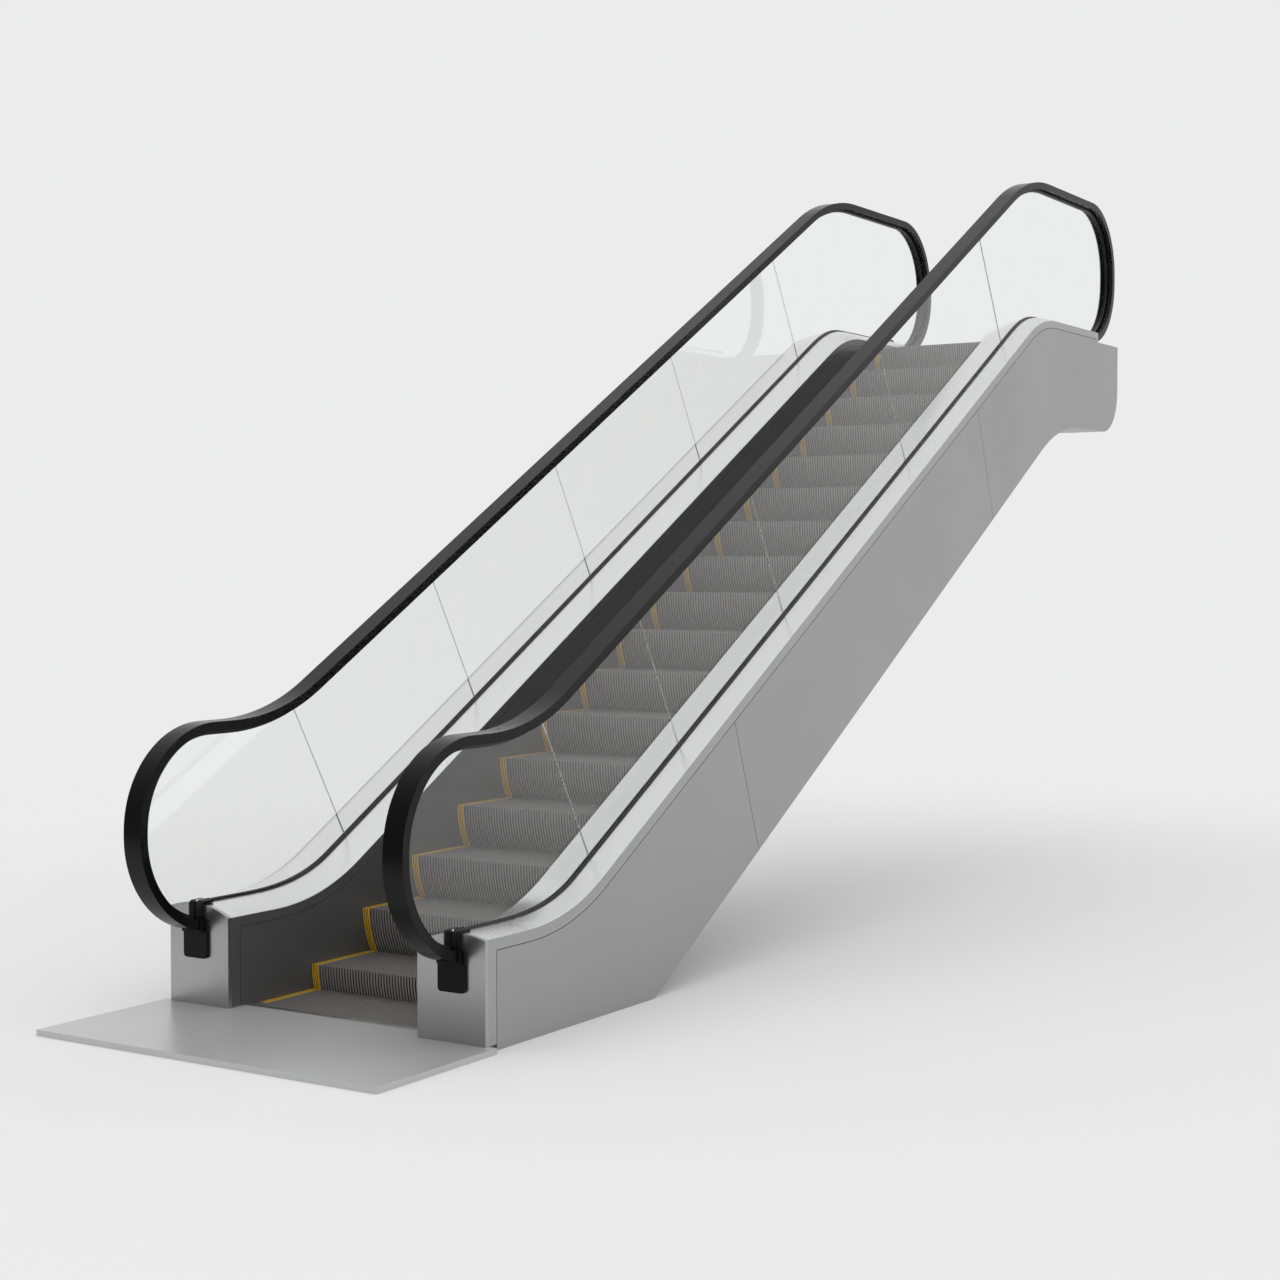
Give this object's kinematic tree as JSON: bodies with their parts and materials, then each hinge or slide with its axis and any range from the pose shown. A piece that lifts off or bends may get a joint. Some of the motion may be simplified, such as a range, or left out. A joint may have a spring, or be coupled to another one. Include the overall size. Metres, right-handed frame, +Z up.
{
  "type": "escalator",
  "caption": "Escalator between two floors with clear glass balustrades, black handrail loops, steel deck covers, grey side panels and grooved steps with yellow edges.",
  "frame": {"origin": "on the ground, midway between the two lower newels, in the plane of their front faces", "axes": "+X along the flight towards the upper floor, +Y towards the left side seen going up, +Z up"},
  "size_m": [7.9597, 1.74, 4.258],
  "materials": {
    "floor_plate": "brushed",
    "comb": "satin",
    "step": "satin",
    "step_edge": "matte",
    "base_pan": "matte",
    "truss": "matte",
    "soffit": "satin",
    "skirt": "satin",
    "cladding": "satin",
    "deck_trim": "satin",
    "deck": "brushed",
    "newel_cap": "brushed",
    "inlet": "matte",
    "glass": "clear",
    "glass_seal": "matte",
    "gasket": "matte",
    "handrail": "satin",
    "guide": "satin"
  },
  "bodies": {
    "root": {"lower_floor_plate": "floor_plate", "upper_floor_plate": "floor_plate", "lower_comb": "comb", "upper_comb": "comb", "steps": "step", "base_pan": "base_pan", "truss": "truss", "soffit": "soffit", "end_panel": "soffit", "step_edge_strips_right": "step_edge", "skirt_right": "skirt", "balustrade_base_right": "truss", "cladding_right_1": "cladding", "cladding_right_2": "cladding", "cladding_right_3": "cladding", "deck_trim_right": "deck_trim", "deck_cover_inner_right": "deck", "deck_cover_outer_right": "deck", "newel_cap_lower_right": "newel_cap", "newel_cap_upper_right": "newel_cap", "handrail_inlet_lower_right": "inlet", "handrail_inlet_upper_right": "inlet", "glass_right": "glass", "glass_seals_right": "glass_seal", "glass_gasket_right": "gasket", "handrail_right": "handrail", "handrail_guide_right": "guide", "step_edge_strips_left": "step_edge", "skirt_left": "skirt", "balustrade_base_left": "truss", "cladding_left_1": "cladding", "cladding_left_2": "cladding", "cladding_left_3": "cladding", "deck_trim_left": "deck_trim", "deck_cover_inner_left": "deck", "deck_cover_outer_left": "deck", "newel_cap_lower_left": "newel_cap", "newel_cap_upper_left": "newel_cap", "handrail_inlet_lower_left": "inlet", "handrail_inlet_upper_left": "inlet", "glass_left": "glass", "glass_seals_left": "glass_seal", "glass_gasket_left": "gasket", "handrail_left": "handrail", "handrail_guide_left": "guide"}
  },
  "joints": []
}
